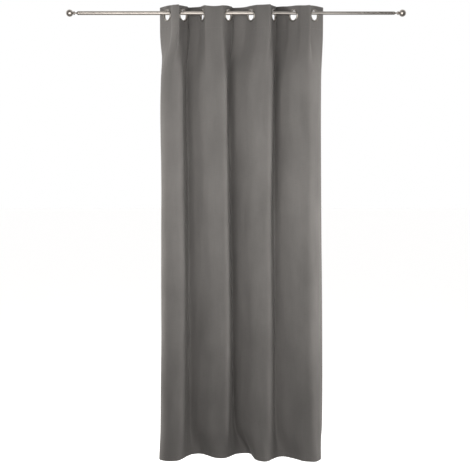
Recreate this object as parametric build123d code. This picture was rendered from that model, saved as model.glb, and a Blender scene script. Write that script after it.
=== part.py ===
"""Eyelet curtain panel hanging in folds on a telescopic rod with ball finials.

Frame, in millimetres: X runs along the rod, to the right as seen from the room. The room is at -Y and the
window is at +Y. Z is up. The origin is on the rod's axis, midway between the two bracket seats.
"""

from build123d import *
import os
from math import atan2, cos, dist, pi, radians, sin, sqrt, tan

# ---------------------------------------------------------------- driving dimensions

# The cloth, as cut and hemmed.
PANEL_DROP = 2400.0
TOP_ABOVE_ROD = 38.0
CLOTH_THICK = 1.0
HEADING_HEIGHT = 120.0
EYELET_FLAT_PITCH = 180.0
EDGE_TO_EYELET = 70.0

# The stiffener band in the heading.
STIFFENER_THICK = 0.8
POCKET_GAP = 1.0
POCKET_HEM = 4.0
STIFFENER_INSET = 3.0

# Eyelets: where they stand along the rod, and how steeply the cloth crosses the rod in each.
EYELET_X = (-357.0, -276.0, -173.0, -42.0, 79.0, 194.0, 299.0, 407.0)
EYELET_ANGLE = (52.0, 52.0, 69.0, 55.0, 52.0, 66.0, 47.0, 44.0)

# The same crossings at the bottom hem, where the folds have opened out.
HEM_CROSSING_X = (-421.0, -288.0, -151.0, -26.0, 93.0, 200.0, 331.0, 453.0)
HEM_CROSSING_ANGLE = (66.0, 58.0, 52.0, 68.0, 58.0, 66.0, 52.0, 76.0)

# Each fold, between two crossings.
CROSSING_REACH = 45.0
CROSSING_STRAIGHT = 34.0
CREST_SHARE = 0.25
CORNER_SHARE = 0.45
LARGEST_BEND = 60.0
DEPTH_SEARCH_STEPS = 40

# Eyelet rings.
EYELET_BORE_R = 24.5
EYELET_RIM_R = 32.5
BARREL_WALL = 1.4
FRONT_RING_DEPTH = 3.2
BACK_RING_DEPTH = 2.2
RING_EDGE_R = 1.2
RING_TO_CLOTH = 0.15
SNAP_CLEARANCE = 0.1
CLOTH_HOLE_R = 26.6
EYELET_HANG = 2.6

# The rod.
OUTER_TUBE_R = 10.0
OUTER_TUBE_WALL = 1.2
INNER_TUBE_R = 8.5
INNER_TUBE_WALL = 1.0
ROD_HALF_LENGTH = 815.0
OUTER_TUBE_END = 140.0
TUBE_LENGTH = ROD_HALF_LENGTH + OUTER_TUBE_END
TUBE_EDGE = 0.3

# Ball finials.
BALL_R = 18.5
BALL_WALL = 2.0
BALL_CENTRE_OUT = 51.5
COLLAR_LENGTH = 15.0
COLLAR_TAPER = 6.0
NECK_R = 5.5
BEAD_R = 10.0
BEAD_LENGTH = 7.0
BEAD_FROM_BALL = 1.0
BEAD_EDGE = 2.0
SPIGOT_R = 4.5
SPIGOT_IN_TUBE = 36.0
STUD_R = 4.0
STUD_IN_BALL = 8.0
PLUG_LENGTH = 26.0
PLUG_INSET = 4.0
PLUG_GROOVES = 4
PLUG_GROOVE_DEPTH = 0.5
FIT_GAP = 0.1

EYELET_CENTRE_Z = OUTER_TUBE_R + EYELET_HANG - EYELET_BORE_R
HEADING_THICK = 2 * CLOTH_THICK + POCKET_GAP
# Distance from the ball's centre to the flat that the neck's shoulder meets.
BALL_SEAT = sqrt(BALL_R**2 - NECK_R**2)


# ---------------------------------------------------------------- the cloth's folded line, from above

def crossing_direction(index, angle):
    """Direction of the cloth, left to right, where it crosses the rod's line for the index-th time."""
    towards_window = 1 if index % 2 else -1
    return cos(radians(angle)), towards_window * sin(radians(angle))


def along(point, direction, length):
    return point[0] + direction[0] * length, point[1] + direction[1] * length


def turn_at(before, corner, after):
    """Angle, in radians, that the line turns at a corner. A turn to the left is positive."""
    first = atan2(corner[1] - before[1], corner[0] - before[0])
    second = atan2(after[1] - corner[1], after[0] - corner[0])
    return (second - first + pi) % (2 * pi) - pi


def bend_radii(points, straight_from=None):
    """Radius at each inner corner: as large as its runs allow, leaving each crossing straight."""
    radii = []
    for i in range(1, len(points) - 1):
        runs = [dist(points[i - 1], points[i]), dist(points[i], points[i + 1])]
        room = CORNER_SHARE * min(runs)
        if straight_from and straight_from(i):
            room = min(room, CROSSING_REACH - CROSSING_STRAIGHT)
        half_turn = abs(turn_at(points[i - 1], points[i], points[i + 1])) / 2
        radii.append(min(room / tan(half_turn), LARGEST_BEND))
    return radii


def line_length(points, radii):
    """Length of a polyline whose corners are rounded."""
    total = sum(dist(a, b) for a, b in zip(points, points[1:]))
    for i, radius in enumerate(radii, start=1):
        turn = abs(turn_at(points[i - 1], points[i], points[i + 1]))
        total -= radius * (2 * tan(turn / 2) - turn)
    return total


def fold_points(index, crossings, angles, depth):
    """The four corners of the fold between crossing index and the next one."""
    side = -1 if index % 2 == 0 else 1
    left = (crossings[index], 0.0)
    right = (crossings[index + 1], 0.0)
    leaving = along(left, crossing_direction(index, angles[index]), CROSSING_REACH)
    arriving = along(right, crossing_direction(index + 1, angles[index + 1]), -CROSSING_REACH)
    middle = (leaving[0] + arriving[0]) / 2
    half_crest = CREST_SHARE * (right[0] - left[0])
    crest = [(middle - half_crest, side * depth), (middle + half_crest, side * depth)]
    return [leaving, crest[0], crest[1], arriving]


def fold_length(index, crossings, angles, depth):
    """Length of cloth from one crossing to the next, for a fold of this depth."""
    corners = fold_points(index, crossings, angles, depth)
    points = [(crossings[index], 0.0), *corners, (crossings[index + 1], 0.0)]
    return line_length(points, bend_radii(points, lambda i: i in (1, 4)))


def fold_depth(index, crossings, angles):
    """Depth at which the fold takes up exactly the cloth between two eyelets."""
    shallow = CROSSING_REACH
    deep = EYELET_FLAT_PITCH
    for _ in range(DEPTH_SEARCH_STEPS):
        middle = (shallow + deep) / 2
        if fold_length(index, crossings, angles, middle) < EYELET_FLAT_PITCH:
            shallow = middle
        else:
            deep = middle
    return deep


def folded_line(crossings, angles):
    """Corners and radii of the whole panel's line, from its left edge to its right edge."""
    last = len(crossings) - 1
    start = along((crossings[0], 0.0), crossing_direction(0, angles[0]), -EDGE_TO_EYELET)
    end = along((crossings[last], 0.0), crossing_direction(last, angles[last]), EDGE_TO_EYELET)
    points = [start]
    for index in range(last):
        points += fold_points(index, crossings, angles, fold_depth(index, crossings, angles))
    points.append(end)
    # Corners 1 and 4 of each fold lie next to a crossing.
    return points, bend_radii(points, lambda i: i % 4 in (0, 1))


# ---------------------------------------------------------------- solids that follow the folded line

def shifted_corner(before, corner, after, shift):
    """The corner of a parallel line, shift to the left of this one."""
    turn = turn_at(before, corner, after)
    heading = atan2(corner[1] - before[1], corner[0] - before[0])
    outward = heading + turn / 2 + pi / 2
    reach = shift / cos(turn / 2)
    return corner[0] + reach * cos(outward), corner[1] + reach * sin(outward)


def shifted_end(point, neighbour, shift, leaving):
    heading = atan2(neighbour[1] - point[1], neighbour[0] - point[0])
    if not leaving:
        heading += pi
    return point[0] - shift * sin(heading), point[1] + shift * cos(heading)


def parallel_line(points, radii, shift):
    """Rounded polyline parallel to the folded line, shift to its left (towards the window)."""
    corners = [shifted_end(points[0], points[1], shift, True)]
    bends = []
    for i, radius in enumerate(radii, start=1):
        corners.append(shifted_corner(points[i - 1], points[i], points[i + 1], shift))
        left_turn = turn_at(points[i - 1], points[i], points[i + 1]) > 0
        bends.append(radius - shift if left_turn else radius + shift)
    corners.append(shifted_end(points[-1], points[-2], shift, False))
    return corners, bends


def band_outline(line, near_shift, far_shift, height, trim=0.0):
    """Closed outline of a band that follows the folded line, between two shifts, at a height."""
    points, radii = line
    if trim:
        points = list(points)
        points[0] = trimmed_end(points[0], points[1], trim)
        points[-1] = trimmed_end(points[-1], points[-2], trim)
    near, near_bends = parallel_line(points, radii, near_shift)
    far, far_bends = parallel_line(points, radii, far_shift)
    near_wire = FilletPolyline(*near, radius=near_bends)
    far_wire = FilletPolyline(*far, radius=far_bends)
    caps = [Line(near[0], far[0]), Line(near[-1], far[-1])]
    outline = Wire([*near_wire.edges(), *far_wire.edges(), *caps])
    return outline.moved(Location((0, 0, height)))


def trimmed_end(end, neighbour, trim):
    share = trim / dist(end, neighbour)
    return end[0] + (neighbour[0] - end[0]) * share, end[1] + (neighbour[1] - end[1]) * share


def upright_band(line, near_shift, far_shift, bottom, top, trim=0.0):
    """Band of constant plan between two heights."""
    face = Face(band_outline(line, near_shift, far_shift, bottom, trim))
    return extrude(face, top - bottom, dir=(0, 0, 1))


def eyelet_plane(index):
    """Plane of an eyelet: its Z points out of the front of the cloth, its X runs along the cloth."""
    direction = crossing_direction(index, EYELET_ANGLE[index])
    outward = (direction[1], -direction[0], 0)
    centre = (EYELET_X[index], 0, EYELET_CENTRE_Z)
    return Plane(origin=centre, x_dir=(direction[0], direction[1], 0), z_dir=outward)


def make_cloth(heading_line, hem_line):
    """One piece of cloth: a doubled heading with a pocket, and the hanging drop."""
    top = TOP_ABOVE_ROD
    heading_bottom = top - HEADING_HEIGHT
    half = HEADING_THICK / 2
    cloth = upright_band(heading_line, -half, half, heading_bottom, top)
    pocket_bottom = heading_bottom + POCKET_HEM
    pocket_top = top - CLOTH_THICK
    cloth -= upright_band(heading_line, -POCKET_GAP / 2, POCKET_GAP / 2, pocket_bottom, pocket_top)
    upper = band_outline(heading_line, -half, CLOTH_THICK - half, heading_bottom)
    lower = band_outline(hem_line, -half, CLOTH_THICK - half, top - PANEL_DROP)
    cloth += Solid.make_loft([upper, lower], ruled=True)
    return cut_eyelet_holes(cloth)


def cut_eyelet_holes(solid):
    for index in range(len(EYELET_X)):
        hole = Cylinder(CLOTH_HOLE_R, 4 * HEADING_THICK)
        solid -= eyelet_plane(index) * hole
    return solid


def make_stiffener(heading_line):
    """Buckram band inside the heading's pocket."""
    half = STIFFENER_THICK / 2
    bottom = TOP_ABOVE_ROD - HEADING_HEIGHT + POCKET_HEM + STIFFENER_INSET
    top = TOP_ABOVE_ROD - CLOTH_THICK - STIFFENER_INSET
    return cut_eyelet_holes(upright_band(heading_line, -half, half, bottom, top, STIFFENER_INSET))


# ---------------------------------------------------------------- eyelets

def ring_of(profile):
    """Ring turned about Z from a closed profile in the XZ plane."""
    return revolve(make_face(profile), Axis.Z)


def front_ring():
    """Front ring, domed outside, with the barrel that passes through the cloth."""
    face = HEADING_THICK / 2 + RING_TO_CLOTH
    crown = face + FRONT_RING_DEPTH
    barrel_end = -face - BACK_RING_DEPTH
    edge = RING_EDGE_R
    bore = EYELET_BORE_R
    middle = (bore + EYELET_RIM_R) / 2
    with BuildLine(Plane.XZ) as profile:
        Polyline(
            (bore, crown - edge),
            (bore, barrel_end),
            (bore + BARREL_WALL, barrel_end),
            (bore + BARREL_WALL, face),
            (EYELET_RIM_R, face),
            (EYELET_RIM_R, face + edge / 2),
        )
        ThreePointArc((EYELET_RIM_R, face + edge / 2), (middle, crown), (bore, crown - edge))
    return ring_of(profile.line)


def back_ring():
    """Flat back ring that snaps onto the barrel."""
    face = -HEADING_THICK / 2 - RING_TO_CLOTH
    inner = EYELET_BORE_R + BARREL_WALL + SNAP_CLEARANCE
    ring = Cylinder(EYELET_RIM_R, BACK_RING_DEPTH) - Cylinder(inner, 2 * BACK_RING_DEPTH)
    ring = ring.moved(Location((0, 0, face - BACK_RING_DEPTH / 2)))
    outer_edges = ring.edges().filter_by(GeomType.CIRCLE).group_by(SortBy.RADIUS)[-1]
    return chamfer(outer_edges.sort_by(Axis.Z)[0], RING_EDGE_R)


# ---------------------------------------------------------------- the rod

def tube(radius, wall, start, end):
    """Tube along X with its sharp edges broken."""
    length = end - start
    solid = Cylinder(radius, length) - Cylinder(radius - wall, 2 * length)
    solid = chamfer(solid.edges().filter_by(GeomType.CIRCLE), TUBE_EDGE)
    return solid.rotate(Axis.Y, 90).moved(Location(((start + end) / 2, 0, 0)))


def outward_plane(side):
    """Plane at a tube's end with its Z along the rod, out of the tube. Side is -1 left, 1 right."""
    return Plane(origin=(side * ROD_HALF_LENGTH, 0, 0), x_dir=(0, 1, 0), z_dir=(side, 0, 0))


def make_ball():
    """Hollow ball with the bore that takes the neck's stud. Z is along the rod, 0 at the tube's end."""
    downwards = (Align.CENTER, Align.CENTER, Align.MAX)
    ball = Sphere(BALL_R) - Sphere(BALL_R - BALL_WALL)
    ball -= Cylinder(STUD_R + FIT_GAP, BALL_R, align=downwards)
    seat = Cylinder(NECK_R + FIT_GAP, BALL_R, align=downwards)
    ball -= seat.moved(Location((0, 0, -BALL_SEAT)))
    return ball.moved(Location((0, 0, BALL_CENTRE_OUT)))


def make_neck(collar_r):
    """Turned neck: spigot in the tube, tapered collar, thin waist, bead and the stud in the ball."""
    ball_near = BALL_CENTRE_OUT - BALL_SEAT - FIT_GAP
    bead_end = BALL_CENTRE_OUT - BALL_R - BEAD_FROM_BALL
    bead_start = bead_end - BEAD_LENGTH
    with BuildLine(Plane.XZ) as profile:
        Polyline(
            (0, -SPIGOT_IN_TUBE),
            (SPIGOT_R, -SPIGOT_IN_TUBE),
            (SPIGOT_R, FIT_GAP),
            (collar_r, FIT_GAP),
            (collar_r, COLLAR_LENGTH - COLLAR_TAPER),
            (NECK_R, COLLAR_LENGTH),
            (NECK_R, bead_start),
            (BEAD_R, bead_start + BEAD_EDGE),
            (BEAD_R, bead_end - BEAD_EDGE),
            (NECK_R, bead_end),
            (NECK_R, ball_near),
            (STUD_R, ball_near),
            (STUD_R, ball_near + STUD_IN_BALL),
            (0, ball_near + STUD_IN_BALL),
            (0, -SPIGOT_IN_TUBE),
        )
    return ring_of(profile.line)


def make_plug(tube_bore_r):
    """Ribbed plastic bush that grips the tube's bore around the spigot."""
    outer = tube_bore_r - FIT_GAP
    plug = Cylinder(outer, PLUG_LENGTH) - Cylinder(SPIGOT_R + FIT_GAP, 2 * PLUG_LENGTH)
    rib = PLUG_LENGTH / (2 * PLUG_GROOVES + 1)
    groove = Cylinder(outer + PLUG_GROOVE_DEPTH, rib) - Cylinder(outer - PLUG_GROOVE_DEPTH, PLUG_LENGTH)
    for step in range(PLUG_GROOVES):
        height = (step - (PLUG_GROOVES - 1) / 2) * 2 * rib
        plug -= groove.moved(Location((0, 0, height)))
    return plug.moved(Location((0, 0, -PLUG_INSET - PLUG_LENGTH / 2)))


# ---------------------------------------------------------------- all the nodes

def make_nodes():
    heading_line = folded_line(EYELET_X, EYELET_ANGLE)
    hem_line = folded_line(HEM_CROSSING_X, HEM_CROSSING_ANGLE)
    print("flat width at the heading and at the hem", line_length(*heading_line), line_length(*hem_line))

    nodes = {
        "curtain_cloth": make_cloth(heading_line, hem_line),
        "heading_stiffener": make_stiffener(heading_line),
        "rod_outer_tube": tube(OUTER_TUBE_R, OUTER_TUBE_WALL, -ROD_HALF_LENGTH, OUTER_TUBE_END),
        "rod_inner_tube": tube(INNER_TUBE_R, INNER_TUBE_WALL, ROD_HALF_LENGTH - TUBE_LENGTH, ROD_HALF_LENGTH),
    }
    for index in range(len(EYELET_X)):
        place = eyelet_plane(index)
        nodes[f"eyelet_front_{index + 1}"] = place * front_ring()
        nodes[f"eyelet_back_{index + 1}"] = place * back_ring()
    ends = (
        ("left", -1, OUTER_TUBE_R, OUTER_TUBE_WALL),
        ("right", 1, INNER_TUBE_R, INNER_TUBE_WALL),
    )
    for name, side, radius, wall in ends:
        place = outward_plane(side)
        nodes[f"finial_ball_{name}"] = place * make_ball()
        nodes[f"finial_neck_{name}"] = place * make_neck(radius)
        nodes[f"finial_plug_{name}"] = place * make_plug(radius - wall)
    return nodes


os.makedirs("parts", exist_ok=True)
for node_name, shape in make_nodes().items():
    export_step(shape, f"parts/{node_name}.step")
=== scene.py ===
"""Looks of an eyelet curtain panel that hangs in folds on a telescopic rod.

Metres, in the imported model's frame: X runs along the rod, the room is at -Y, Z is up, and the origin is on
the rod's axis.
"""

from math import atan2, cos, pi, radians, sin, sqrt

import bmesh
import bpy
import numpy as np
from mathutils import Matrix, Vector


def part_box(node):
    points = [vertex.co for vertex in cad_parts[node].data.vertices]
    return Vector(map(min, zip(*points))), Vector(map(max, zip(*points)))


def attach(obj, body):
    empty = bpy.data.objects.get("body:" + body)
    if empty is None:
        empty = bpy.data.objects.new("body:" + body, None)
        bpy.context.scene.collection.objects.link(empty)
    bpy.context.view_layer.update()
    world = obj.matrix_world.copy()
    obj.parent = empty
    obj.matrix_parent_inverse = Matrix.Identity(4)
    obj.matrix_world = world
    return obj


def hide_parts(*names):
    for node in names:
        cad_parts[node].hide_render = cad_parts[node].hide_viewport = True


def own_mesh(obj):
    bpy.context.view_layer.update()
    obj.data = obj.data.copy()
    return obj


MM = 0.001

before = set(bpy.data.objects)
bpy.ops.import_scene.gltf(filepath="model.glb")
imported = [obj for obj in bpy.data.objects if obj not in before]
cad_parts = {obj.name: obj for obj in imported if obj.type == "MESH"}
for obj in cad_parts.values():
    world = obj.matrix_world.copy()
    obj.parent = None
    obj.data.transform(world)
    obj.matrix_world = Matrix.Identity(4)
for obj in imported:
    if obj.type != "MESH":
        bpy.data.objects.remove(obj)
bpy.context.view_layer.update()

# ---------------------------------------------------------------- the cloth, as cut

FLAT_WIDTH = 1400 * MM
FLAT_DROP = 2400 * MM
FLAT_PITCH = 180 * MM
EDGE_TO_EYELET = 70 * MM
SIDE_HEM = 25 * MM
BOTTOM_HEM = 25 * MM
HEADING_TURN = 120 * MM

# Distance between the middles of two layers: of the heading, of a hem.
HEADING_GAP = 2.0 * MM
HEM_GAP = 0.9 * MM
FRONT_LAYER = -HEADING_GAP / 2
CLOTH_HOLE = 27.2 * MM
BUCKRAM_INSET = 3 * MM

# Mesh steps: across the cloth, down its close-set parts, and down the plain drop.
WIDTH_STEP = 5 * MM
CLOSE_STEP = 4 * MM
DROP_STEP = 14 * MM

# Stitches. Each row lies this far in from the edge that it holds.
STITCH = 3.2 * MM
STITCH_GAP = 0.9 * MM
THREAD_R = 0.28 * MM
HEADING_ROW_IN = 3 * MM
HEM_ROW_IN = 2 * MM

# The folded lines are worked out in steps of this much cloth.
SAMPLE = 1 * MM
EYELETS = range(1, 9)
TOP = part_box("curtain_cloth")[1].z
HEADING_FOOT = TOP - HEADING_TURN

# Where the folds stand at four heights, in millimetres, seen from above as (X, Y); the room is at negative Y.
# At each height: the corners at the left edge; each fold's (right shoulder of its crest, valley, brow of the
# next crest); the corners at the right edge.
FOLD_LEVELS = (
    (-350,
     ((-378, 48), (-398, 26), (-388, -38), (-352, -60)),
     (((-282, -58), (-264, 46), (-160, -50)),
      ((-50, -58), (-44, 50), (74, -50)),
      ((188, -58), (200, 42), (290, -44))),
     ((388, -58), (431, -20), (449, 38))),
    (-1000,
     ((-352, 40), (-394, 20), (-392, -42), (-352, -58)),
     (((-278, -56), (-260, 40), (-138, -50)),
      ((-44, -60), (-32, 52), (88, -46)),
      ((180, -54), (200, 28), (300, -44))),
     ((390, -58), (436, -22), (454, 34))),
    (-1700,
     ((-350, 40), (-400, 20), (-398, -42), (-360, -58)),
     (((-278, -56), (-252, 42), (-122, -46)),
      ((-38, -58), (-22, 56), (98, -48)),
      ((186, -54), (206, 22), (312, -44))),
     ((400, -64), (446, -26), (464, 34))),
    (-2200,
     ((-352, 42), (-406, 20), (-406, -42), (-366, -60)),
     (((-288, -58), (-252, 46), (-136, -40)),
      ((-46, -50), (-10, 56), (96, -50)),
      ((180, -62), (212, 16), (322, -44))),
     ((410, -66), (454, -26), (466, 34))),
)
# The hem has opened out into round folds, given corner by corner.
HEM_LEVEL = (
    (-360, 46), (-412, 22), (-414, -42), (-380, -60), (-310, -60), (-242, 46), (-190, 56), (-112, -16),
    (-62, -24), (2, 54), (80, 58), (106, -50), (160, -74), (228, 8), (266, 12), (366, -66),
    (430, -72), (460, -22), (454, 38),
)
# From a valley the cloth rises steeply at first and lies nearly flat where it reaches the next crest.
RISE_FULLNESS = 1.15
RISE_STEPS = 5
LEVEL_SOFTNESS = 19 * MM
# How far a level's drawn folds may be flattened or deepened to take up the cloth's width.
FLATTEST = 0.5
DEEPEST = 2.0
DEPTH_SEARCH_STEPS = 24


def eyelet_place(number):
    """Where the rod's line meets an eyelet, the direction of the cloth there, and the eyelet's height."""
    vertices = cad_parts[f"eyelet_front_{number}"].data.vertices
    points = np.array([v.co for v in vertices])
    spread = np.cov((points - points.mean(0)).T)
    normal = np.linalg.eigh(spread)[1][:, 0]
    if normal[1] > 0:
        normal = -normal
    run = np.array([-normal[1], normal[0], 0.0])
    middle = (points @ run).min() / 2 + (points @ run).max() / 2
    # The cloth's middle plane crosses the rod's line, so the eyelet's axis does too, where Y is 0.
    crossing = middle / run[0]
    height = (points[:, 2].min() + points[:, 2].max()) / 2
    return crossing, run[:2], height


PLACES = [eyelet_place(number) for number in EYELETS]
EYELET_ALONG = [EDGE_TO_EYELET + i * FLAT_PITCH for i in range(len(PLACES))]
EYELET_DROP = TOP - PLACES[0][2]


# ---------------------------------------------------------------- folded lines, seen from above

def sampled(corners):
    """Points about every SAMPLE along a polyline."""
    corners = np.array(corners, float)
    runs = np.linalg.norm(np.diff(corners, axis=0), axis=1)
    at = np.concatenate([[0], np.cumsum(runs)])
    count = max(int(round(at[-1] / SAMPLE)), 2)
    where = np.linspace(0, at[-1], count + 1)
    return np.column_stack([np.interp(where, at, corners[:, k]) for k in (0, 1)])


def softened(line, softness):
    """The same line with its corners rounded, as cloth bends. Its ends keep their place."""
    reach = int(round(4 * softness / SAMPLE))
    before = line[0] - np.outer(np.arange(reach, 0, -1), line[1] - line[0])
    after = line[-1] + np.outer(np.arange(1, reach + 1), line[-1] - line[-2])
    padded = np.vstack([before, line, after])
    kernel = np.exp(-0.5 * (np.arange(-reach, reach + 1) * SAMPLE / softness) ** 2)
    kernel /= kernel.sum()
    return np.column_stack([np.convolve(padded[:, k], kernel, mode="valid") for k in (0, 1)])


def length_of(line):
    return np.linalg.norm(np.diff(line, axis=0), axis=1).sum()


def evenly(line, count):
    """count + 1 points at even distances along a line."""
    at = np.concatenate([[0], np.cumsum(np.linalg.norm(np.diff(line, axis=0), axis=1))])
    where = np.linspace(0, at[-1], count + 1)
    return np.column_stack([np.interp(where, at, line[:, k]) for k in (0, 1)])


def solved(make_line, length, low, high):
    """The line whose depth, between low and high, gives it this length."""
    for _ in range(DEPTH_SEARCH_STEPS):
        middle = (low + high) / 2
        if length_of(make_line(middle)) < length:
            low = middle
        else:
            high = middle
    return make_line(high)


def heading_gap_line(left, right, side):
    """Line of the cloth from one eyelet to the next: flat in both, with a fold between them.

    Like the folds below, a fold rises slowly from the left and drops steeply at its right.
    """
    reach = 42 * MM
    flat_half = 33 * MM
    flat_fade = 12 * MM
    overhang = 0.40
    softness = 13 * MM
    slow_share = 0.62
    leave = np.array([left[0], 0]) + left[1] * reach
    arrive = np.array([right[0], 0]) - right[1] * reach
    # The more cloth there is to spare between the eyelets, the further the fold bulges past them.
    bulge = overhang * (FLAT_PITCH - 2 * reach - (arrive[0] - leave[0])) / 2

    def make_line(depth):
        if side < 0:
            fold = [(leave[0], -slow_share * depth), (arrive[0] + bulge, -depth)]
        else:
            fold = [(leave[0] - bulge, depth), (arrive[0], slow_share * depth)]
        line = sampled([(left[0], 0), leave, *fold, arrive, (right[0], 0)])
        at = np.arange(len(line)) * SAMPLE
        from_eyelet = np.minimum(at, at[::-1])
        share = np.clip((from_eyelet - flat_half) / flat_fade, 0, 1)[:, None]
        share = share * share * (3 - 2 * share)
        return line * (1 - share) + softened(line, softness) * share

    return solved(make_line, FLAT_PITCH, reach / 2, FLAT_PITCH)


def heading_line():
    """Line of the heading, through all the eyelets, in even steps of cloth."""
    first, last = PLACES[0], PLACES[-1]
    steps = int(round(FLAT_PITCH / SAMPLE))
    edge_steps = int(round(EDGE_TO_EYELET / SAMPLE))
    start = np.array([first[0], 0]) - np.outer(np.arange(edge_steps, 0, -1) * SAMPLE, first[1])
    pieces = [start]
    for i in range(len(PLACES) - 1):
        side = -1 if i % 2 == 0 else 1
        gap = evenly(heading_gap_line(PLACES[i], PLACES[i + 1], side), steps)
        pieces.append(gap[:-1])
    end = np.array([last[0], 0]) + np.outer(np.arange(0, edge_steps + 1) * SAMPLE, last[1])
    pieces.append(end)
    return np.vstack(pieces)


def rise(valley, brow):
    """Corners between a valley and the brow of the crest to its right."""
    corners = []
    for step in range(1, RISE_STEPS):
        t = step / RISE_STEPS
        share = 1 - (1 - t) ** RISE_FULLNESS
        corners.append((valley[0] + (brow[0] - valley[0]) * t, valley[1] + (brow[1] - valley[1]) * share))
    return corners


def fold_corners(left, folds, right):
    """All the corners of a level's line: a fold drops from its shoulder and rises to the next one's brow."""
    corners = list(left)
    for shoulder, valley, brow in folds:
        corners += [shoulder, valley, *rise(valley, brow), brow]
    return corners + list(right)


def level_line(corners):
    """Line of the cloth at a level, its folds as deep as the cloth's width makes them."""
    corners = np.array(corners) * MM
    steps = int(round(FLAT_WIDTH / SAMPLE))

    def make_line(depth):
        return softened(sampled(corners * (1, depth)), LEVEL_SOFTNESS)

    return evenly(solved(make_line, FLAT_WIDTH, FLATTEST, DEEPEST), steps)


def cloth_levels():
    """Heights, from the top down, and the cloth's line at each."""
    heading = heading_line()
    heights = [TOP, HEADING_FOOT]
    lines = [heading, heading]
    for height, left, folds, right in FOLD_LEVELS:
        heights.append(height * MM)
        lines.append(level_line(fold_corners(left, folds, right)))
    heights.append(TOP - FLAT_DROP)
    lines.append(level_line(HEM_LEVEL))
    return np.array(heights), np.array(lines)


HEIGHTS, LINES = cloth_levels()


def level_slopes():
    """How each point of the line moves with height, at each level. The heading hangs plumb."""
    slopes = np.zeros_like(LINES)
    for k in range(2, len(HEIGHTS) - 1):
        slopes[k] = (LINES[k + 1] - LINES[k - 1]) / (HEIGHTS[k + 1] - HEIGHTS[k - 1])
    slopes[-1] = 0.5 * (LINES[-1] - LINES[-2]) / (HEIGHTS[-1] - HEIGHTS[-2])
    return slopes


SLOPES = level_slopes()


def at_cloth(table, k, along):
    """Values of a level's table at distances along the cloth."""
    where = np.arange(table.shape[1]) * SAMPLE
    out = np.empty(along.shape + (2,))
    for level in range(len(HEIGHTS)):
        mask = k == level
        for axis in (0, 1):
            out[mask, axis] = np.interp(along[mask], where, table[level, :, axis])
    return out


def middle_surface(along, height):
    """X and Y of the cloth's middle surface, for distances along the cloth and heights."""
    upper = np.clip(np.searchsorted(-HEIGHTS, -height, side="right") - 1, 0, len(HEIGHTS) - 2)
    lower = upper + 1
    span = HEIGHTS[lower] - HEIGHTS[upper]
    t = np.clip((height - HEIGHTS[upper]) / span, 0, 1)
    span, t = span[..., None], t[..., None]
    # Cubic Hermite weights of the two levels' lines and slopes.
    line_above = 2 * t**3 - 3 * t**2 + 1
    slope_above = t**3 - 2 * t**2 + t
    line_below = 3 * t**2 - 2 * t**3
    slope_below = t**3 - t**2
    value = line_above * at_cloth(LINES, upper, along) + line_below * at_cloth(LINES, lower, along)
    slopes = slope_above * at_cloth(SLOPES, upper, along) + slope_below * at_cloth(SLOPES, lower, along)
    return value + span * slopes


# Soft, uneven ripples of the hanging cloth: wavelength along the cloth, height over which they drift, depth.
RIPPLES = (
    (210 * MM, 1.90, 1.6 * MM),
    (137 * MM, 1.30, 1.1 * MM),
    (83 * MM, 0.90, 0.7 * MM),
    (51 * MM, 0.70, 0.35 * MM),
    (31 * MM, 0.55, 0.15 * MM),
)
RIPPLE_FADE_BELOW = 0.30
RIPPLE_FADE_EDGE = 60 * MM
# Gathers at a row of stitches: their wavelengths, how far they reach from the row, and the row's own groove.
PUCKER_WAVES = (17.0, 23.0, 31.0, 47.0)
PUCKER_REACH = 14 * MM
PUCKER_FADE_EDGE = 30 * MM
GROOVE_DEPTH = 0.25 * MM
GROOVE_REACH = 1.6 * MM


def ripple(along, height):
    """How far the cloth stands off its middle surface, growing from nothing below the heading."""
    rng = np.random.default_rng(12)
    depth = np.zeros_like(along)
    for wave, drift, size in RIPPLES:
        phases = rng.uniform(0, 2 * pi, 3)
        drift_phase = 1.6 * np.sin(2 * pi * height / drift + phases[0])
        swell = 0.6 + 0.4 * np.sin(2 * pi * (height / (1.7 * drift) + along / (3.1 * wave)) + phases[1])
        depth += size * swell * np.sin(2 * pi * along / wave + drift_phase + phases[2])
    below = np.clip((HEADING_FOOT - height) / RIPPLE_FADE_BELOW, 0, 1)
    edge = np.clip(np.minimum(along, FLAT_WIDTH - along) / RIPPLE_FADE_EDGE, 0, 1)
    return depth * below * edge


def pucker(along, height):
    """Fine gathering of the cloth along the heading's and the bottom hem's rows of stitches."""
    depth = np.zeros_like(along)
    rng = np.random.default_rng(5)
    heading_row = HEADING_FOOT + HEADING_ROW_IN
    hem_row = TOP - FLAT_DROP + BOTTOM_HEM - HEM_ROW_IN
    for row, size in ((heading_row, 0.35 * MM), (hem_row, 0.40 * MM)):
        near = np.exp(-((height - row) / PUCKER_REACH) ** 2)
        waves = sum(np.sin(2 * pi * along / (wave * MM) + rng.uniform(0, 2 * pi)) for wave in PUCKER_WAVES)
        groove = -GROOVE_DEPTH * np.exp(-((height - row) / GROOVE_REACH) ** 2)
        depth += near * size * waves / len(PUCKER_WAVES) + groove
    edge = np.clip(np.minimum(along, FLAT_WIDTH - along) / PUCKER_FADE_EDGE, 0, 1)
    return depth * edge


# How far the top edge droops midway between neighbouring eyelets, from left to right, and at the two ends.
TOP_DROOP = (5 * MM, -1 * MM, 8 * MM, 2 * MM, 2.5 * MM, -5 * MM, 7 * MM)
END_DROOP = 2 * MM


def droop(along, drop):
    """Droop of the heading between its eyelets, greatest at the top edge and gone at the heading's foot."""
    fall = np.zeros_like(along)
    for i, size in enumerate(TOP_DROOP):
        t = np.clip((along - EYELET_ALONG[i]) / FLAT_PITCH, 0, 1)
        fall += size * np.sin(pi * t) ** 2
    beyond = np.maximum(EYELET_ALONG[0] - along, along - EYELET_ALONG[-1])
    fall += END_DROOP * np.clip(beyond / EDGE_TO_EYELET, 0, 1) ** 2
    return fall * (0.5 + 0.5 * np.cos(pi * np.clip(drop / HEADING_TURN, 0, 1)))


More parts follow.
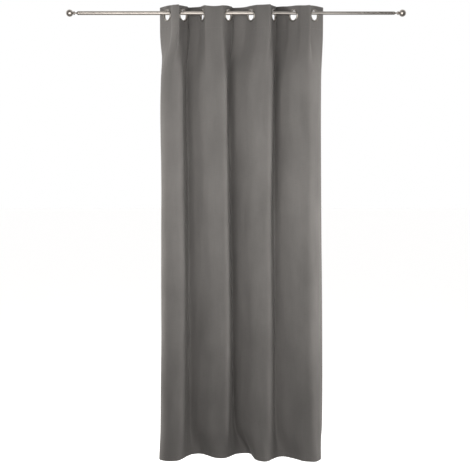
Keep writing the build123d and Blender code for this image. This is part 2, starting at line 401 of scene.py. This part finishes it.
def cloth_points(along, drop, off):
    """Points of the cloth: distance along it, distance below its top, distance behind its front layer."""
    height = TOP - drop
    step = 1.5 * MM
    place = middle_surface(along, height)
    ahead = middle_surface(np.minimum(along + step, FLAT_WIDTH), height)
    behind = middle_surface(np.maximum(along - step, 0), height)
    run = ahead - behind
    run /= np.linalg.norm(run, axis=-1)[..., None]
    away = FRONT_LAYER + off - ripple(along, height) - pucker(along, height)
    x = place[..., 0] - run[..., 1] * away
    y = place[..., 1] + run[..., 0] * away
    return np.stack([x, y, height - droop(along, drop)], axis=-1)


# ---------------------------------------------------------------- meshes

def new_object(name, points, faces, smooth=True):
    mesh = bpy.data.meshes.new(name)
    mesh.from_pydata([tuple(p) for p in points], [], faces)
    mesh.update()
    if smooth:
        mesh.polygons.foreach_set("use_smooth", [True] * len(mesh.polygons))
    obj = bpy.data.objects.new(name, mesh)
    bpy.context.scene.collection.objects.link(obj)
    return obj


def face_outwards(mesh):
    """Turns a closed mesh's faces to the outside."""
    shape = bmesh.new()
    shape.from_mesh(mesh)
    bmesh.ops.recalc_face_normals(shape, faces=shape.faces)
    shape.to_mesh(mesh)
    shape.free()


def crossed_places(length, near, far, places):
    """Lines across the cloth in one direction, its turned-in strips included.

    near and far are (width of the turned-in strip, gap between the layers). Returns for each line its
    distance from the first fold, how far it stands behind the front layer, and its distance on the cut cloth.
    """
    def turned(width, gap):
        radius = gap / 2
        count = max(int(width / WIDTH_STEP), 2)
        strip = [(p, gap) for p in np.linspace(width, radius, count, endpoint=False)]
        angles = np.radians((90, 45, 0, -45, -90))
        return strip + [(radius - radius * cos(a), radius + radius * sin(a)) for a in angles]

    near_part = turned(*near)
    far_part = [(length - p, off) for p, off in reversed(turned(*far))]
    middle = [(p, 0.0) for p in places if near[1] < p < length - far[1]]
    line = np.array(near_part + middle + far_part)
    steps = np.linalg.norm(np.diff(line, axis=0), axis=1)
    cut = np.concatenate([[0], np.cumsum(steps)])
    return line[:, 0], line[:, 1], cut


def drop_places():
    """Places down the cloth of the lines across it: close in the heading and the hem, wider between them."""
    past_heading = 0.03
    into_drop = 0.01
    above_hem = 0.06
    into_hem = 0.008
    close = np.arange(0, HEADING_TURN + past_heading, CLOSE_STEP)
    wide = np.arange(close[-1] + into_drop, FLAT_DROP - above_hem, DROP_STEP)
    hem = np.arange(wide[-1] + into_hem, FLAT_DROP, CLOSE_STEP)
    return np.concatenate([close, wide, hem])


def make_cloth():
    """One length of cloth, turned over at the top, hemmed at the bottom and sides, and holed for the eyelets.

    Returns it with the size of the cut cloth.
    """
    along, off_u, cut_u = crossed_places(
        FLAT_WIDTH, (SIDE_HEM, HEM_GAP), (SIDE_HEM, HEM_GAP), np.arange(WIDTH_STEP, FLAT_WIDTH, WIDTH_STEP)
    )
    drop, off_v, cut_v = crossed_places(
        FLAT_DROP, (HEADING_TURN, HEADING_GAP), (BOTTOM_HEM, HEM_GAP), drop_places()
    )
    columns, rows = len(along), len(drop)
    u, v = np.meshgrid(along, drop)
    off = off_u[None, :] + off_v[:, None]

    # The faces over each eyelet are left out, and the rim that is left is drawn onto the round hole.
    keep = np.ones((rows - 1, columns - 1), bool)
    mid_u = (u[:-1, :-1] + u[1:, 1:]) / 2
    mid_v = (v[:-1, :-1] + v[1:, 1:]) / 2
    for centre in EYELET_ALONG:
        keep &= np.hypot(mid_u - centre, mid_v - EYELET_DROP) > CLOTH_HOLE
    used = np.zeros((rows, columns), bool)
    cut_away = np.zeros((rows, columns), bool)
    for di, dj in ((0, 0), (0, 1), (1, 0), (1, 1)):
        used[di:rows - 1 + di, dj:columns - 1 + dj] |= keep
        cut_away[di:rows - 1 + di, dj:columns - 1 + dj] |= ~keep
    rim = used & cut_away
    for centre in EYELET_ALONG:
        distance = np.hypot(u - centre, v - EYELET_DROP)
        near = rim & (distance < 1.5 * CLOTH_HOLE)
        factor = np.where(near, CLOTH_HOLE / np.maximum(distance, 1e-6), 1.0)
        u = centre + (u - centre) * factor
        v = EYELET_DROP + (v - EYELET_DROP) * factor

    points = cloth_points(u, v, off)
    number = -np.ones((rows, columns), int)
    number[used] = np.arange(used.sum())
    r, c = np.nonzero(keep)
    faces = np.stack([number[r, c], number[r + 1, c], number[r + 1, c + 1], number[r, c + 1]], axis=1)
    cloth = new_object("curtain_panel_cloth", points[used], faces.tolist())
    cut = np.stack(np.meshgrid(cut_u, cut_v) + [np.zeros((rows, columns))], axis=-1)[used]
    store_cut(cloth, cut)
    return cloth, (cut_u[-1], cut_v[-1])


def store_cut(obj, cut):
    """Keeps each point's place on the cut cloth, for the weave."""
    attribute = obj.data.attributes.new("cut_place", "FLOAT_VECTOR", "POINT")
    attribute.data.foreach_set("vector", cut.astype(np.float32).ravel())


def make_stiffener():
    """Buckram band between the heading's two layers, and its flat size."""
    hole = CLOTH_HOLE + 2 * MM
    along = np.arange(SIDE_HEM + BUCKRAM_INSET, FLAT_WIDTH - SIDE_HEM, WIDTH_STEP)
    drop = np.arange(BUCKRAM_INSET, HEADING_TURN - 2 * BUCKRAM_INSET, CLOSE_STEP)
    u, v = np.meshgrid(along, drop)
    mid_u = (u[:-1, :-1] + u[1:, 1:]) / 2
    mid_v = (v[:-1, :-1] + v[1:, 1:]) / 2
    keep = np.ones((len(drop) - 1, len(along) - 1), bool)
    for centre in EYELET_ALONG:
        keep &= np.hypot(mid_u - centre, mid_v - EYELET_DROP) > hole
    points = cloth_points(u, v, np.full_like(u, HEADING_GAP / 2))
    number = np.arange(u.size).reshape(u.shape)
    r, c = np.nonzero(keep)
    faces = np.stack([number[r, c], number[r + 1, c], number[r + 1, c + 1], number[r, c + 1]], axis=1)
    band = new_object("heading_buckram", points.reshape(-1, 3), faces.tolist())
    return band, (FLAT_WIDTH - 2 * SIDE_HEM, HEADING_TURN - 3 * BUCKRAM_INSET)


# ---------------------------------------------------------------- stitches

def thread_row(name, starts, ends, outward):
    """A row of stitches, each a small rounded bar from its start to its end, lying on the cloth.

    A stitch is a stack of rings: the share of its length where each stands, and its width there.
    """
    sides = 6
    shares = (0.0, 0.12, 0.5, 0.88, 1.0)
    widths = (0.25, 0.85, 1.0, 0.85, 0.25)
    run = ends - starts
    length = np.linalg.norm(run, axis=1)[:, None]
    run = run / length
    across = np.cross(run, outward)
    points, faces = [], []
    ring_count = len(shares)
    for share, width in zip(shares, widths):
        lift = THREAD_R * (0.1 + sin(pi * share))
        centre = starts + run * length * share + outward * lift
        for k in range(sides):
            angle = 2 * pi * k / sides
            offset = across * cos(angle) + outward * sin(angle)
            points.append(centre + offset * THREAD_R * width)
    points = np.stack(points, axis=1)
    per_stitch = ring_count * sides
    for stitch in range(len(starts)):
        base = stitch * per_stitch
        for ring in range(ring_count - 1):
            for k in range(sides):
                a = base + ring * sides + k
                b = base + ring * sides + (k + 1) % sides
                faces.append((a, b, b + sides, a + sides))
        faces.append(tuple(base + k for k in reversed(range(sides))))
        faces.append(tuple(base + (ring_count - 1) * sides + k for k in range(sides)))
    return new_object(name, points.reshape(-1, 3), faces)


def row_along(name, drop, off, outward_side):
    """Stitches in a level row, drop below the top, on the layer that stands off behind the front one."""
    clear = 4 * MM
    starts_at = np.arange(clear, FLAT_WIDTH - clear - STITCH, STITCH + STITCH_GAP)
    drops = np.full_like(starts_at, drop)
    offs = np.full_like(starts_at, off)
    starts = cloth_points(starts_at, drops, offs)
    ends = cloth_points(starts_at + STITCH, drops, offs)
    beyond = cloth_points(starts_at, drops, offs + outward_side * MM)
    return thread_row(name, starts, ends, (beyond - starts) / MM)


def row_down(name, along, off, outward_side):
    """Stitches in an upright row from the top to the hem, at a distance along the cloth."""
    clear = 6 * MM
    starts_at = np.arange(clear, FLAT_DROP - clear - STITCH, STITCH + STITCH_GAP)
    alongs = np.full_like(starts_at, along)
    offs = np.full_like(starts_at, off)
    starts = cloth_points(alongs, starts_at, offs)
    ends = cloth_points(alongs, starts_at + STITCH, offs)
    beyond = cloth_points(alongs, starts_at, offs + outward_side * MM)
    return thread_row(name, starts, ends, (beyond - starts) / MM)


def make_stitching():
    """Every row shows on the front of the cloth and on the back of the layers that it joins."""
    heading_drop = HEADING_TURN - HEADING_ROW_IN
    hem_drop = FLAT_DROP - BOTTOM_HEM + HEM_ROW_IN
    side = SIDE_HEM - HEM_ROW_IN
    surface = 0.15 * MM
    return [
        row_along("heading_stitches_front", heading_drop, -surface, -1),
        row_along("heading_stitches_back", heading_drop, HEADING_GAP + surface, 1),
        row_along("hem_stitches_front", hem_drop, -surface, -1),
        row_along("hem_stitches_back", hem_drop, HEM_GAP + surface, 1),
        row_down("side_stitches_left_front", side, -surface, -1),
        row_down("side_stitches_left_back", side, HEM_GAP + surface, 1),
        row_down("side_stitches_right_front", FLAT_WIDTH - side, -surface, -1),
        row_down("side_stitches_right_back", FLAT_WIDTH - side, HEM_GAP + surface, 1),
    ]


# ---------------------------------------------------------------- turned metal pieces

def arc(centre, radius, start, end, count):
    """Points of an arc in a turned profile, as (distance from the axis, place along it)."""
    angles = np.radians(np.linspace(start, end, count))
    return [(centre[0] + radius * cos(a), centre[1] + radius * sin(a)) for a in angles]


def turned_piece(name, profile, origin, axis, across, segments=96, sharp=radians(32)):
    """A closed profile turned about an axis. axis and across are unit vectors at right angles."""
    axis, across = Vector(axis), Vector(across)
    third = axis.cross(across)
    origin = Vector(origin)
    points, faces = [], []
    count = len(profile)
    for k in range(segments):
        angle = 2 * pi * k / segments
        direction = across * cos(angle) + third * sin(angle)
        points += [origin + direction * radius + axis * place for radius, place in profile]
    for k in range(segments):
        ahead = (k + 1) % segments
        for i in range(count):
            j = (i + 1) % count
            faces.append((k * count + i, k * count + j, ahead * count + j, ahead * count + i))
    piece = new_object(name, points, faces)
    face_outwards(piece.data)
    piece.data.set_sharp_from_angle(angle=sharp)
    return piece


def millimetres(profile):
    return [(radius * MM, place * MM) for radius, place in profile]


# An eyelet's two halves, in millimetres: radii of the bore, rim and barrel, and places along its axis, from
# the middle of the cloth, of the face that meets the cloth, the front's crown and the barrel's rolled end.
RING_BORE = 24.5
RING_RIM = 32.5
BARREL_OUT = RING_BORE + 1.4
RING_FACE = 1.65
CROWN = RING_FACE + 3.2
BARREL_END = -3.15


def front_ring_profile():
    """Pressed front ring: rolled rim, domed face, and the barrel that goes through the cloth."""
    rim_round = 0.5
    bore_round = 2.9
    roll = 0.7
    dome = [(RING_RIM - 0.2, 2.9), (RING_RIM - 1.0, 3.7), (RING_RIM - 2.2, 4.35), (RING_RIM - 3.6, 4.75)]
    return millimetres(
        [(BARREL_OUT, RING_FACE), (RING_RIM - rim_round, RING_FACE)]
        + arc((RING_RIM - rim_round, RING_FACE + rim_round), rim_round, -80, 10, 5)
        + dome
        + arc((RING_BORE + bore_round, CROWN - bore_round), bore_round, 70, 180, 9)
        + [(RING_BORE, -3.1)]
        + arc((RING_BORE + roll, BARREL_END), roll, 180, 350, 7)
        + [(BARREL_OUT, -2.2)]
    )


def back_ring_profile():
    """Flat back ring with a raised lip around the barrel and a softly bent rim."""
    inner = BARREL_OUT + 0.15
    rim_round = 0.7
    lip = [(inner, -3.4), (inner + 0.4, -3.8), (inner + 1.6, -3.85), (inner + 2.1, -3.4)]
    return millimetres(
        [(inner, -RING_FACE)]
        + lip
        + [(RING_RIM - 1.8, -3.3), (RING_RIM - 1.2, -3.7)]
        + arc((RING_RIM - rim_round, -3.1), rim_round, -100, 0, 6)
        + [(RING_RIM, -RING_FACE)]
    )


def make_eyelet(number):
    """Both rings of an eyelet, square to the cloth where the rod passes through it."""
    crossing, run, height = PLACES[number - 1]
    outward = Vector((run[1], -run[0], 0)).normalized()
    origin = (crossing, 0, height)
    up = (0, 0, 1)
    front = turned_piece(f"eyelet_ring_front_{number}", front_ring_profile(), origin, outward, up)
    back = turned_piece(f"eyelet_ring_back_{number}", back_ring_profile(), origin, outward, up)
    return front, back


def tube_piece(name, node, wall):
    """Rolled tube in the place of its CAD node, with softly rounded ends."""
    low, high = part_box(node)
    outer = (high.z - low.z) / 2
    round_r = 0.45 * MM
    inner = outer - wall
    start, end = low.x, high.x
    profile = [(inner, start), (outer - round_r, start)]
    profile += arc((outer - round_r, start + round_r), round_r, -60, 0, 4)
    profile += [(outer, start + (end - start) * share) for share in (0.25, 0.5, 0.75)]
    profile += arc((outer - round_r, end - round_r), round_r, 0, 60, 4)
    profile += [(outer - round_r, end), (inner, end)]
    return turned_piece(name, profile, (0, 0, 0), (1, 0, 0), (0, 0, 1))


OUTER_WALL = 1.2 * MM
INNER_WALL = 1.0 * MM

# The finials' turned parts: radii, and distances along the rod from the tube's end or the ball.
AXIS_CLEAR = 0.1 * MM
FIT_GAP = 0.1 * MM
SPIGOT_R = 4.5 * MM
SPIGOT_LENGTH = 36 * MM
SEAT_R = 5.5 * MM
WAIST_R = 4.4 * MM
COLLAR_LENGTH = 15 * MM
COLLAR_STEP = 0.4 * MM
BEAD_R = 10 * MM
BEAD_HALF = 3.5 * MM
BEAD_FROM_BALL = 1 * MM
PLUG_RIBS = 5
PLUG_RIB_HEIGHT = 0.6 * MM


def span_outwards(node, direction):
    """Where a node starts and ends along the rod, measured outwards from the frame's origin."""
    low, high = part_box(node)
    return (low.x, high.x) if direction > 0 else (-high.x, -low.x)


def radius_of(node):
    """Radius of a node that is turned about the rod's axis."""
    low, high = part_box(node)
    return (high.z - low.z) / 2


def ball_profile(centre, ball_r, seat):
    """Ball with the flat seat that meets the neck."""
    seat_angle = np.degrees(atan2(seat - centre, SEAT_R))
    return [(AXIS_CLEAR, seat), (SEAT_R - 0.3 * MM, seat)] + arc((0, centre), ball_r, seat_angle, 89.5, 44)


def collar_profile(collar_r, tube_end):
    """Collar with a turned groove, and its taper down to the waist."""
    eased = collar_r - COLLAR_STEP
    groove = collar_r - 0.5 * MM
    groove_at = tube_end + 7.1 * MM
    taper_at = 9.3 * MM
    profile = [(eased, tube_end + FIT_GAP), (collar_r, tube_end + FIT_GAP + COLLAR_STEP)]
    profile += [(collar_r, groove_at - 0.5 * MM), (groove, groove_at), (groove, groove_at + 0.8 * MM)]
    profile += [(collar_r - 0.1 * MM, groove_at + 1.2 * MM), (eased, tube_end + taper_at)]
    for share in np.linspace(0.15, 1, 8):
        blend = 0.5 - 0.5 * cos(pi * share)
        place = tube_end + taper_at + (COLLAR_LENGTH - taper_at) * share
        profile.append((eased * (1 - blend) + WAIST_R * blend, place))
    return profile


def neck_profile(spigot_start, collar_r, bead_end, seat):
    """Turned neck: spigot, collar, thin waist, and the bead next to the ball."""
    tube_end = spigot_start + SPIGOT_LENGTH
    bead_start = bead_end - 2 * BEAD_HALF
    bead_root = SEAT_R - 0.4 * MM
    end = seat - FIT_GAP
    spigot = [(AXIS_CLEAR, spigot_start), (SPIGOT_R - 0.3 * MM, spigot_start)]
    spigot += [(SPIGOT_R, spigot_start + 0.4 * MM), (SPIGOT_R, tube_end + FIT_GAP)]
    bead = [(WAIST_R, bead_start - 1.2 * MM), (bead_root, bead_start)]
    bead += arc((BEAD_R - BEAD_HALF, bead_end - BEAD_HALF), BEAD_HALF, -78, 78, 14)
    bead += [(bead_root, bead_end), (4.6 * MM, end), (AXIS_CLEAR, end)]
    return spigot + collar_profile(collar_r, tube_end) + bead


def plug_profile(start, end, plug_r):
    """Plastic bush with rounded ribs that grip the tube."""
    inner = SPIGOT_R + FIT_GAP
    groove = plug_r - PLUG_RIB_HEIGHT
    edge = 0.5 * MM
    profile = [(inner, start), (groove, start)]
    for k in range(PLUG_RIBS):
        low = start + (end - start) * (k + 0.15) / PLUG_RIBS
        high = start + (end - start) * (k + 0.65) / PLUG_RIBS
        profile += [(groove, low), (plug_r, low + edge), (plug_r, high - edge), (groove, high)]
    return profile + [(groove, end), (inner, end)]


def make_finial(side_name, direction):
    """Ball, turned neck and grip plug of one end, in place of their CAD nodes."""
    ball_node, neck_node, plug_node = (f"finial_{part}_{side_name}" for part in ("ball", "neck", "plug"))
    ball_r = radius_of(ball_node)
    centre = span_outwards(ball_node, direction)[1] - ball_r
    seat = centre - sqrt(ball_r**2 - SEAT_R**2)
    spigot_start = span_outwards(neck_node, direction)[0]
    bead_end = centre - ball_r - BEAD_FROM_BALL
    plug_start, plug_end = span_outwards(plug_node, direction)
    turn = dict(origin=(0, 0, 0), axis=(direction, 0, 0), across=(0, 0, 1))
    ball = turned_piece(f"ball_{side_name}", ball_profile(centre, ball_r, seat), sharp=radians(50), **turn)
    collar_r = radius_of("rod_outer_tube" if side_name == "left" else "rod_inner_tube")
    neck_line = neck_profile(spigot_start, collar_r, bead_end, seat)
    neck = turned_piece(f"neck_{side_name}", neck_line, segments=72, **turn)
    plug_line = plug_profile(plug_start, plug_end, radius_of(plug_node))
    plug = turned_piece(f"plug_{side_name}", plug_line, segments=48, **turn)
    return ball, neck, plug


# ---------------------------------------------------------------- materials

class Nodes:
    """A few short calls that add shader nodes to a material."""

    def __init__(self, name):
        self.material = bpy.data.materials.new(name)
        self.material.use_nodes = True
        self.tree = self.material.node_tree
        self.shader = self.tree.nodes["Principled BSDF"]

    def add(self, kind, settings=None, **inputs):
        node = self.tree.nodes.new(kind)
        for key, value in (settings or {}).items():
            setattr(node, key, value)
        for key, value in inputs.items():
            self.put(node, key.replace("_", " "), value)
        return node

    def put(self, node, socket, value):
        target = node.inputs[socket]
        if isinstance(value, bpy.types.NodeSocket):
            self.tree.links.new(value, target)
        else:
            target.default_value = value

    def math(self, operation, *values):
        node = self.add("ShaderNodeMath", {"operation": operation})
        for socket, value in enumerate(values):
            self.put(node, socket, value)
        return node.outputs["Value"]

    def noise(self, vector, scale, detail):
        node = self.add("ShaderNodeTexNoise", Vector=self.mapped(vector, scale), Scale=1.0, Detail=detail)
        return node.outputs["Fac"]

    def bands(self, vector, direction, scale):
        settings = {"wave_type": "BANDS", "bands_direction": direction, "wave_profile": "SIN"}
        node = self.add("ShaderNodeTexWave", settings, Vector=vector, Scale=scale, Distortion=0.6, Detail=1.0)
        return node.outputs["Fac"]

    def bump(self, height, strength, distance):
        node = self.add("ShaderNodeBump", Height=height, Strength=strength, Distance=distance)
        self.put(self.shader, "Normal", node.outputs["Normal"])

    def own_place(self):
        return self.add("ShaderNodeTexCoord").outputs["Object"]

    def grey_ramp(self, value, low, high):
        """Grey between two (position, level) stops."""
        return self.ramp(value, [(position, (level, level, level)) for position, level in (low, high)])

    def ramp(self, value, stops):
        node = self.tree.nodes.new("ShaderNodeValToRGB")
        self.tree.links.new(value, node.inputs["Fac"])
        elements = node.color_ramp.elements
        while len(elements) < len(stops):
            elements.new(0.5)
        for element, (position, colour) in zip(elements, stops):
            element.position = position
            element.color = (*colour, 1)
        return node.outputs["Color"]

    def mapped(self, vector, scale):
        node = self.add("ShaderNodeMapping", Scale=scale)
        self.tree.links.new(vector, node.inputs["Vector"])
        return node.outputs["Vector"]


def cloth_material():
    """Dense matt blackout weave: fine warp and weft, uneven yarn, a faint mottle."""
    n = Nodes("blackout_cloth")
    place = n.add("ShaderNodeAttribute", {"attribute_name": "cut_place"}).outputs["Vector"]
    weave = n.math("MULTIPLY", n.bands(place, "X", 330.0), n.bands(place, "Y", 300.0))
    yarn_down = n.noise(place, (700, 9, 1), 3.0)
    yarn_across = n.noise(place, (30, 900, 1), 2.0)
    yarn = n.math("ADD", yarn_down, yarn_across)
    mottle = n.noise(place, (7, 3, 1), 4.0)

    body = n.ramp(mottle, [(0.3, (0.115, 0.109, 0.104)), (0.7, (0.149, 0.1415, 0.135))])
    fleck = n.grey_ramp(yarn, (0.7, 0.93), (1.3, 1.06))
    colour = n.add("ShaderNodeMix", {"data_type": "RGBA", "blend_type": "MULTIPLY"}, Factor=1.0)
    n.put(colour, 6, body)
    n.put(colour, 7, fleck)
    n.put(n.shader, "Base Color", colour.outputs[2])
    n.put(n.shader, "Roughness", n.grey_ramp(yarn, (0.7, 0.82), (1.3, 0.90)))
    n.bump(n.math("MULTIPLY_ADD", weave, 0.6, yarn), 0.35, 0.0002)
    n.shader.inputs["Specular IOR Level"].default_value = 0.25
    n.shader.inputs["Sheen Weight"].default_value = 0.18
    n.shader.inputs["Sheen Roughness"].default_value = 0.45
    n.shader.inputs["Sheen Tint"].default_value = (0.9, 0.87, 0.84, 1)
    return n.material


def thread_material():
    """Polyester sewing thread in the cloth's colour, with the twist of its plies."""
    n = Nodes("sewing_thread")
    twist = n.noise(n.own_place(), (2500, 2500, 2500), 2.0)
    n.put(n.shader, "Base Color", n.ramp(twist, [(0.35, (0.10, 0.095, 0.09)), (0.65, (0.21, 0.20, 0.19))]))
    n.bump(twist, 0.4, 0.0001)
    n.shader.inputs["Roughness"].default_value = 0.6
    n.shader.inputs["Sheen Weight"].default_value = 0.2
    return n.material


def buckram_material():
    """Off-white stiffened mesh of the heading band."""
    n = Nodes("buckram")
    mesh = n.noise(n.own_place(), (900, 900, 900), 2.0)
    n.put(n.shader, "Base Color", n.ramp(mesh, [(0.35, (0.62, 0.60, 0.55)), (0.65, (0.80, 0.78, 0.73))]))
    n.bump(mesh, 0.5, 0.0002)
    n.shader.inputs["Roughness"].default_value = 0.9
    return n.material


def nickel_material(name, colour, roughness, grain_scale):
    """Satin nickel: a warm grey metal with a fine turned grain and faint handling marks."""
    variation = 0.06
    grain_share = 0.16
    n = Nodes(name)
    place = n.own_place()
    grain = n.noise(place, grain_scale, 3.0)
    marks = n.noise(place, (28, 28, 28), 5.0)
    dark = tuple(c * (1 - variation) for c in colour)
    light = tuple(min(c * (1 + variation), 1) for c in colour)
    n.put(n.shader, "Base Color", n.ramp(marks, [(0.3, dark), (0.7, light)]))
    n.put(n.shader, "Roughness", n.math("MULTIPLY_ADD", grain, grain_share, roughness - grain_share / 2))
    n.bump(grain, 0.08, 0.0001)
    n.shader.inputs["Metallic"].default_value = 1.0
    return n.material


def plug_material():
    """Black moulded plastic of the grip plugs."""
    n = Nodes("black_grip_plastic")
    grain = n.noise(n.own_place(), (900, 900, 900), 2.0)
    n.put(n.shader, "Base Color", n.grey_ramp(grain, (0.3, 0.02), (0.7, 0.035)))
    n.bump(grain, 0.2, 0.0001)
    n.shader.inputs["Roughness"].default_value = 0.55
    return n.material


def dress(obj, material, slot_name, body, *nodes):
    """Gives a piece its material and body, and hides the CAD nodes that it stands for. slot_name is not used.
    """
    obj.data.materials.clear()
    obj.data.materials.append(material)
    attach(obj, body)
    if nodes:
        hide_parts(*nodes)


# ---------------------------------------------------------------- build


def build_panel():
    """Cloth, stiffener and stitches, each given its material and attached to the panel's body."""
    cloth, cut_size = make_cloth()
    stiffener, stiffener_size = make_stiffener()
    stitches = make_stitching()
    weave = cloth_material()
    thread = thread_material()
    dress(cloth, weave, "cloth", "panel", "curtain_cloth")
    dress(stiffener, buckram_material(), "stiffener", "panel", "heading_stiffener")
    for row in stitches:
        dress(row, thread, "cloth", "panel")
    for piece in (cloth, stiffener, *stitches):
        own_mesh(piece)


def build_eyelets():
    """The rings of every eyelet: the first eyelet's rings go on the panel's body, the others on bodies of
    their own.
    """
    front_metal = nickel_material("eyelet_nickel", (0.50, 0.47, 0.43), 0.26, (300, 300, 300))
    back_metal = nickel_material("eyelet_back_nickel", (0.46, 0.43, 0.40), 0.34, (300, 300, 300))
    for number in EYELETS:
        body = "panel" if number == 1 else f"eyelet_{number}"
        front, back = make_eyelet(number)
        dress(front, front_metal, "eyelet_front", body, f"eyelet_front_{number}")
        dress(back, back_metal, "eyelet_back", body, f"eyelet_back_{number}")
        for ring in (front, back):
            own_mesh(ring)


def build_rod():
    outer_metal = nickel_material("outer_tube_nickel", (0.64, 0.59, 0.54), 0.48, (3, 900, 900))
    inner_metal = nickel_material("inner_tube_nickel", (0.44, 0.41, 0.38), 0.42, (3, 900, 900))
    ball_metal = nickel_material("ball_nickel", (0.60, 0.55, 0.50), 0.26, (500, 40, 40))
    neck_metal = nickel_material("neck_nickel", (0.46, 0.42, 0.38), 0.30, (500, 40, 40))
    plastic = plug_material()
    outer = tube_piece("outer_tube", "rod_outer_tube", OUTER_WALL)
    inner = tube_piece("inner_tube", "rod_inner_tube", INNER_WALL)
    dress(outer, outer_metal, "outer_tube", "rod", "rod_outer_tube")
    dress(inner, inner_metal, "inner_tube", "rod_extension", "rod_inner_tube")
    for side_name, direction in (("left", -1), ("right", 1)):
        ball, neck, plug = make_finial(side_name, direction)
        body = f"finial_{side_name}"
        dress(ball, ball_metal, "finial_ball", body, f"finial_ball_{side_name}")
        dress(neck, neck_metal, "finial_neck", body, f"finial_neck_{side_name}")
        dress(plug, plastic, "finial_plug", body, f"finial_plug_{side_name}")


# ---------------------------------------------------------------- stage, light and camera

# The camera stands in front of the panel, a third of the way down it, and looks slightly down.
CAMERA_X = -0.0055
CAMERA_DISTANCE = 5.0
CAMERA_Z = -0.772
AIM_Z = -1.159
LENS = 72.45


def aimed(obj, target):
    direction = Vector(target) - obj.location
    obj.rotation_euler = direction.to_track_quat("-Z", "Y").to_euler()


def make_camera():
    data = bpy.data.cameras.new("camera")
    data.lens = LENS
    data.clip_end = 100
    camera = bpy.data.objects.new("camera", data)
    camera.location = (CAMERA_X, -CAMERA_DISTANCE, CAMERA_Z)
    aimed(camera, (CAMERA_X, 0, AIM_Z))
    bpy.context.scene.collection.objects.link(camera)
    bpy.context.scene.camera = camera


def soft_light(name, location, target, width, height, power, metal_only=False):
    """A rectangular softbox that the camera doesn't see. It lights the cloth, or only mirrors in metal."""
    data = bpy.data.lights.new(name, "AREA")
    data.shape = "RECTANGLE"
    data.size = width
    data.size_y = height
    data.energy = power
    data.color = (1.0, 0.99, 0.975)
    light = bpy.data.objects.new(name, data)
    light.location = location
    aimed(light, target)
    light.visible_camera = False
    light.visible_glossy = metal_only
    light.visible_diffuse = not metal_only
    bpy.context.scene.collection.objects.link(light)


def make_lights():
    """Three softboxes in front, a strip at each side, a low glow on the hem, and a panel for the metal."""
    soft_light("upper_box", (-0.90, -1.6, -0.20), (0, 0, -0.30), 1.4, 0.8, 17)
    soft_light("lower_box", (-0.10, -1.75, -1.00), (0.05, 0, -1.00), 1.8, 0.9, 23)
    soft_light("right_box", (1.4, -1.4, -0.95), (0.35, 0, -0.95), 0.7, 0.8, 10)
    soft_light("left_edge", (-2.0, 0.3, -1.35), (0, 0, -1.35), 0.6, 1.1, 48)
    soft_light("right_edge", (2.2, -0.3, -0.95), (0, 0, -0.95), 0.6, 1.4, 44)
    soft_light("hem_glow", (0, -0.32, -2.56), (0, 0, -2.34), 1.1, 0.10, 0.5)
    soft_light("metal_panel", (-0.35, -1.9, -0.45), (-0.35, 0, 0), 2.6, 2.2, 44, metal_only=True)


def smooth_range(tree, value, start, end, low, high):
    """A value eased from low to high as the given one goes from start to end."""
    node = tree.nodes.new("ShaderNodeMapRange")
    node.interpolation_type = "SMOOTHSTEP"
    node.inputs["From Min"].default_value = start
    node.inputs["From Max"].default_value = end
    node.inputs["To Min"].default_value = low
    node.inputs["To Max"].default_value = high
    tree.links.new(value, node.inputs["Value"])
    return node.outputs["Result"]


def make_world():
    """White to the camera; to everything else a soft studio, brightest at the white wall behind the panel."""
    world = bpy.data.worlds.new("studio")
    world.use_nodes = True
    bpy.context.scene.world = world
    tree = world.node_tree
    seen = tree.nodes["Background"]
    seen.inputs["Color"].default_value = (1, 1, 1, 1)
    seen.inputs["Strength"].default_value = 1.0
    studio = tree.nodes.new("ShaderNodeBackground")
    studio.inputs["Color"].default_value = (1.0, 0.99, 0.98, 1)
    direction = tree.nodes.new("ShaderNodeSeparateXYZ")
    tree.links.new(tree.nodes.new("ShaderNodeTexCoord").outputs["Generated"], direction.inputs["Vector"])
    towards_wall = smooth_range(tree, direction.outputs["Y"], -0.6, 0.6, 0.16, 0.80)
    upwards = smooth_range(tree, direction.outputs["Z"], -0.6, 0.3, 0.45, 1.0)
    dimmed = tree.nodes.new("ShaderNodeMath")
    dimmed.operation = "MULTIPLY"
    tree.links.new(towards_wall, dimmed.inputs[0])
    tree.links.new(upwards, dimmed.inputs[1])
    tree.links.new(dimmed.outputs["Value"], studio.inputs["Strength"])
    path = tree.nodes.new("ShaderNodeLightPath")
    mix = tree.nodes.new("ShaderNodeMixShader")
    tree.links.new(path.outputs["Is Camera Ray"], mix.inputs["Fac"])
    tree.links.new(studio.outputs["Background"], mix.inputs[1])
    tree.links.new(seen.outputs["Background"], mix.inputs[2])
    tree.links.new(mix.outputs["Shader"], tree.nodes["World Output"].inputs["Surface"])


def make_floor():
    """Plain pale floor below the hem."""
    half = 30.0
    gap = 0.12
    height = TOP - FLAT_DROP - gap
    corners = [(x * half, y * half, height) for x, y in ((-1, -1), (1, -1), (1, 1), (-1, 1))]
    floor = new_object("floor", corners, [(0, 1, 2, 3)], smooth=False)
    n = Nodes("pale_floor")
    n.shader.inputs["Base Color"].default_value = (0.9, 0.9, 0.9, 1)
    n.shader.inputs["Roughness"].default_value = 0.9
    n.shader.inputs["Emission Color"].default_value = (1, 1, 1, 1)
    n.shader.inputs["Emission Strength"].default_value = 0.55
    floor.data.materials.append(n.material)
    floor.visible_diffuse = False
    floor.visible_glossy = False


make_camera()
make_lights()
make_world()
make_floor()
bpy.context.scene.view_settings.view_transform = "Standard"

build_rod()
build_eyelets()
build_panel()
